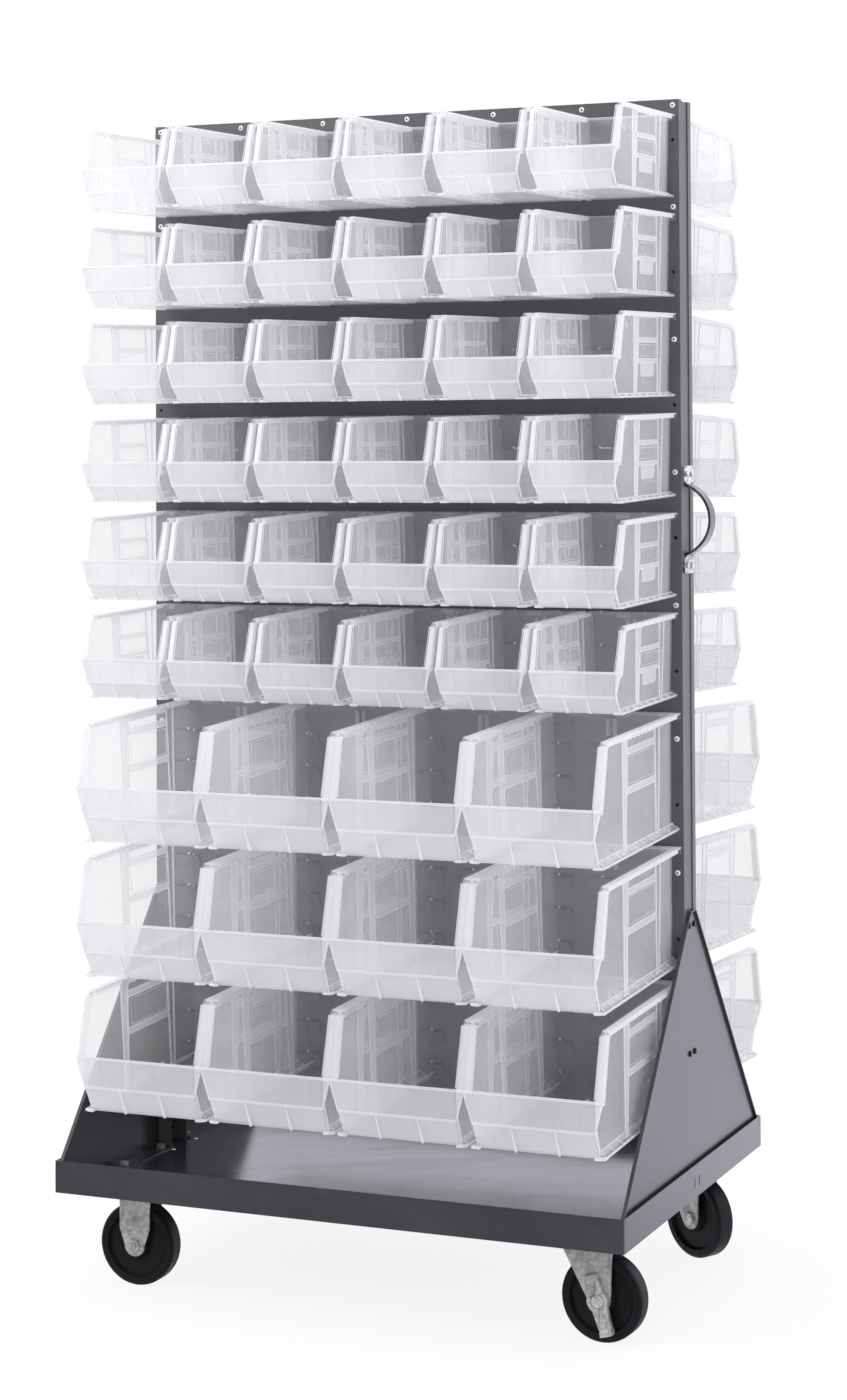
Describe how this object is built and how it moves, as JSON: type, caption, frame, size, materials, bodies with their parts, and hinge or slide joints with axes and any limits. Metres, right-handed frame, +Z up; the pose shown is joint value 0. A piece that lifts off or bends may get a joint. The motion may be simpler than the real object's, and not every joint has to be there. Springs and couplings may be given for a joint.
{
  "type": "louvered bin rack",
  "caption": "Mobile double-sided louvered steel rack on casters, with translucent hang-and-stack bins hooked on both faces, tapered end plates, a tray base and a pull handle.",
  "frame": {"origin": "on the floor, under the middle of the whole object", "axes": "+X towards the end with the pull handle and swivel casters, +Y from the front bins to the back bins, +Z up"},
  "size_m": [0.955, 0.8036, 1.831],
  "materials": {
    "rack_paint": "dark grey powder coat, semi-gloss",
    "zinc_plate": "galvanised or zinc plated, mottled",
    "black_screw": "black oxide",
    "cast_zinc": "plated casting, satin",
    "chrome_plate": "bright chrome",
    "wheel_black": "hard black rubber, slight sheen",
    "bin_plastic": "translucent milky polypropylene, satin"
  },
  "bodies": {
    "rack": {"base_tray": "rack_paint", "end_plate_right": "rack_paint", "end_plate_left": "rack_paint", "post_right": "rack_paint", "post_left": "rack_paint", "top_rail": "rack_paint", "bottom_rail": "rack_paint", "louver_panel_front": "rack_paint", "louver_panel_back": "rack_paint", "panel_rivets": "zinc_plate", "deck_nuts": "zinc_plate", "caster_bolts": "zinc_plate", "caster_nuts": "zinc_plate", "rigid_fork_front": "zinc_plate", "rigid_fork_back": "zinc_plate", "rigid_axle_sleeves": "zinc_plate", "rigid_axle_bolts": "zinc_plate", "rigid_axle_nuts": "zinc_plate", "swivel_plate_front": "zinc_plate", "kingpin_front": "zinc_plate", "swivel_plate_back": "zinc_plate", "kingpin_back": "zinc_plate", "end_plate_screws": "black_screw", "deck_bolts": "black_screw", "handle": "chrome_plate", "handle_screws": "chrome_plate"},
    "swivel_front": {"swivel_fork_front": "zinc_plate", "swivel_balls_front": "zinc_plate", "swivel_axle_sleeve_front": "zinc_plate", "swivel_axle_bolt_front": "zinc_plate", "swivel_axle_nut_front": "zinc_plate"},
    "swivel_back": {"swivel_fork_back": "zinc_plate", "swivel_balls_back": "zinc_plate", "swivel_axle_sleeve_back": "zinc_plate", "swivel_axle_bolt_back": "zinc_plate", "swivel_axle_nut_back": "zinc_plate"},
    "rigid_wheel_front": {"rigid_wheel_front": "wheel_black"},
    "rigid_wheel_back": {"rigid_wheel_back": "wheel_black"},
    "swivel_wheel_front": {"swivel_wheel_front": "wheel_black"},
    "swivel_wheel_back": {"swivel_wheel_back": "wheel_black"},
    "brake": {"brake_lever": "cast_zinc"},
    "small_bins_front_1": {"small_bins_front_1": "bin_plastic"},
    "small_bins_back_1": {"small_bins_back_1": "bin_plastic"},
    "small_bins_front_2": {"small_bins_front_2": "bin_plastic"},
    "small_bins_back_2": {"small_bins_back_2": "bin_plastic"},
    "small_bins_front_3": {"small_bins_front_3": "bin_plastic"},
    "small_bins_back_3": {"small_bins_back_3": "bin_plastic"},
    "small_bins_front_4": {"small_bins_front_4": "bin_plastic"},
    "small_bins_back_4": {"small_bins_back_4": "bin_plastic"},
    "small_bins_front_5": {"small_bins_front_5": "bin_plastic"},
    "small_bins_back_5": {"small_bins_back_5": "bin_plastic"},
    "small_bins_front_6": {"small_bins_front_6": "bin_plastic"},
    "small_bins_back_6": {"small_bins_back_6": "bin_plastic"},
    "big_bins_front_1": {"big_bins_front_1": "bin_plastic"},
    "big_bins_back_1": {"big_bins_back_1": "bin_plastic"},
    "big_bins_front_2": {"big_bins_front_2": "bin_plastic"},
    "big_bins_back_2": {"big_bins_back_2": "bin_plastic"},
    "big_bins_front_3": {"big_bins_front_3": "bin_plastic"},
    "big_bins_back_3": {"big_bins_back_3": "bin_plastic"}
  },
  "joints": [
    {"name": "swivel_front_turn", "type": "hinge", "parent": "rack", "child": "swivel_front", "pos_m": [0.3525, -0.24, 0.145], "axis": [0, 0, 1], "continuous": true},
    {"name": "swivel_wheel_front_spin", "type": "hinge", "parent": "swivel_front", "child": "swivel_wheel_front", "pos_m": [0.37944, -0.24174, 0.0635], "axis": [0.0645, 0.9979, 0], "continuous": true},
    {"name": "brake_press", "type": "hinge", "parent": "swivel_front", "child": "brake", "pos_m": [0.37944, -0.24174, 0.0635], "axis": [-0.0645, -0.9979, 0], "range_deg": [0, 40]},
    {"name": "rigid_wheel_front_spin", "type": "hinge", "parent": "rack", "child": "rigid_wheel_front", "pos_m": [-0.3855, -0.24, 0.0635], "axis": [0, 1, 0], "continuous": true},
    {"name": "swivel_back_turn", "type": "hinge", "parent": "rack", "child": "swivel_back", "pos_m": [0.3525, 0.24, 0.145], "axis": [0, 0, 1], "continuous": true},
    {"name": "swivel_wheel_back_spin", "type": "hinge", "parent": "swivel_back", "child": "swivel_wheel_back", "pos_m": [0.37611, 0.22691, 0.0635], "axis": [0.4848, 0.8746, 0], "continuous": true},
    {"name": "rigid_wheel_back_spin", "type": "hinge", "parent": "rack", "child": "rigid_wheel_back", "pos_m": [-0.3855, 0.24, 0.0635], "axis": [0, 1, 0], "continuous": true},
    {"name": "small_bins_front_1_lift", "type": "slide", "parent": "rack", "child": "small_bins_front_1", "axis": [0, -0.4067, 0.9135], "range_m": [0, 0.022]},
    {"name": "small_bins_back_1_lift", "type": "slide", "parent": "rack", "child": "small_bins_back_1", "axis": [0, 0.4067, 0.9135], "range_m": [0, 0.022]},
    {"name": "small_bins_front_2_lift", "type": "slide", "parent": "rack", "child": "small_bins_front_2", "axis": [0, -0.4067, 0.9135], "range_m": [0, 0.022]},
    {"name": "small_bins_back_2_lift", "type": "slide", "parent": "rack", "child": "small_bins_back_2", "axis": [0, 0.4067, 0.9135], "range_m": [0, 0.022]},
    {"name": "small_bins_front_3_lift", "type": "slide", "parent": "rack", "child": "small_bins_front_3", "axis": [0, -0.4067, 0.9135], "range_m": [0, 0.022]},
    {"name": "small_bins_back_3_lift", "type": "slide", "parent": "rack", "child": "small_bins_back_3", "axis": [0, 0.4067, 0.9135], "range_m": [0, 0.022]},
    {"name": "small_bins_front_4_lift", "type": "slide", "parent": "rack", "child": "small_bins_front_4", "axis": [0, -0.4067, 0.9135], "range_m": [0, 0.022]},
    {"name": "small_bins_back_4_lift", "type": "slide", "parent": "rack", "child": "small_bins_back_4", "axis": [0, 0.4067, 0.9135], "range_m": [0, 0.022]},
    {"name": "small_bins_front_5_lift", "type": "slide", "parent": "rack", "child": "small_bins_front_5", "axis": [0, -0.4067, 0.9135], "range_m": [0, 0.022]},
    {"name": "small_bins_back_5_lift", "type": "slide", "parent": "rack", "child": "small_bins_back_5", "axis": [0, 0.4067, 0.9135], "range_m": [0, 0.022]},
    {"name": "small_bins_front_6_lift", "type": "slide", "parent": "rack", "child": "small_bins_front_6", "axis": [0, -0.4067, 0.9135], "range_m": [0, 0.022]},
    {"name": "small_bins_back_6_lift", "type": "slide", "parent": "rack", "child": "small_bins_back_6", "axis": [0, 0.4067, 0.9135], "range_m": [0, 0.022]},
    {"name": "big_bins_front_1_lift", "type": "slide", "parent": "rack", "child": "big_bins_front_1", "axis": [0, -0.4067, 0.9135], "range_m": [0, 0.022]},
    {"name": "big_bins_back_1_lift", "type": "slide", "parent": "rack", "child": "big_bins_back_1", "axis": [0, 0.4067, 0.9135], "range_m": [0, 0.022]},
    {"name": "big_bins_front_2_lift", "type": "slide", "parent": "rack", "child": "big_bins_front_2", "axis": [0, -0.4067, 0.9135], "range_m": [0, 0.022]},
    {"name": "big_bins_back_2_lift", "type": "slide", "parent": "rack", "child": "big_bins_back_2", "axis": [0, 0.4067, 0.9135], "range_m": [0, 0.022]},
    {"name": "big_bins_front_3_lift", "type": "slide", "parent": "rack", "child": "big_bins_front_3", "axis": [0, -0.4067, 0.9135], "range_m": [0, 0.022]},
    {"name": "big_bins_back_3_lift", "type": "slide", "parent": "rack", "child": "big_bins_back_3", "axis": [0, 0.4067, 0.9135], "range_m": [0, 0.022]}
  ]
}
